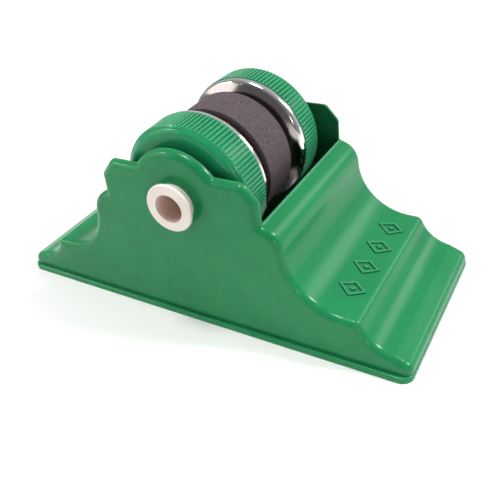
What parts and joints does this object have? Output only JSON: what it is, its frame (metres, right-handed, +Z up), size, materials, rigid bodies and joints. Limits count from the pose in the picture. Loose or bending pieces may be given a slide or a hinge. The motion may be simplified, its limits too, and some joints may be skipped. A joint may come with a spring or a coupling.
{
  "type": "roller sharpening stone",
  "caption": "Abrasive sharpening roller with polished dishes and ribbed caps, turning on hollow axle sleeves in a moulded bench stand.",
  "frame": {"origin": "on the floor, under the middle of the axle, at the centre of the stand's foot", "axes": "+X along the stand towards the patterned ramp, +Y along the axle towards the rear cheek, +Z up"},
  "size_m": [0.125, 0.057, 0.0557],
  "materials": {
    "green_moulding": "injection moulded, semi-gloss, faint flow marks, rubbed edges",
    "green_cap": "injection moulded, semi-gloss, ribbed grip",
    "polished_steel": "mirror polished pressed sheet, fine turning marks",
    "abrasive": "fine bonded grit, matt, pale specks",
    "white_plastic": "natural white, satin",
    "core_plastic": "natural nylon, satin"
  },
  "bodies": {
    "stand": {"stand_housing": "green_moulding"},
    "roller": {"front_axle_sleeve": "white_plastic", "rear_axle_sleeve": "white_plastic", "grinding_drum": "abrasive", "drum_core_bush": "core_plastic", "front_steel_dish": "polished_steel", "rear_steel_dish": "polished_steel", "front_end_cap": "green_cap", "rear_end_cap": "green_cap", "front_spacer_ring": "core_plastic", "rear_spacer_ring": "core_plastic"}
  },
  "joints": [
    {"name": "roller_spin", "type": "hinge", "parent": "stand", "child": "roller", "pos_m": [0, 0, 0.037], "axis": [0, 1, 0], "continuous": true}
  ]
}
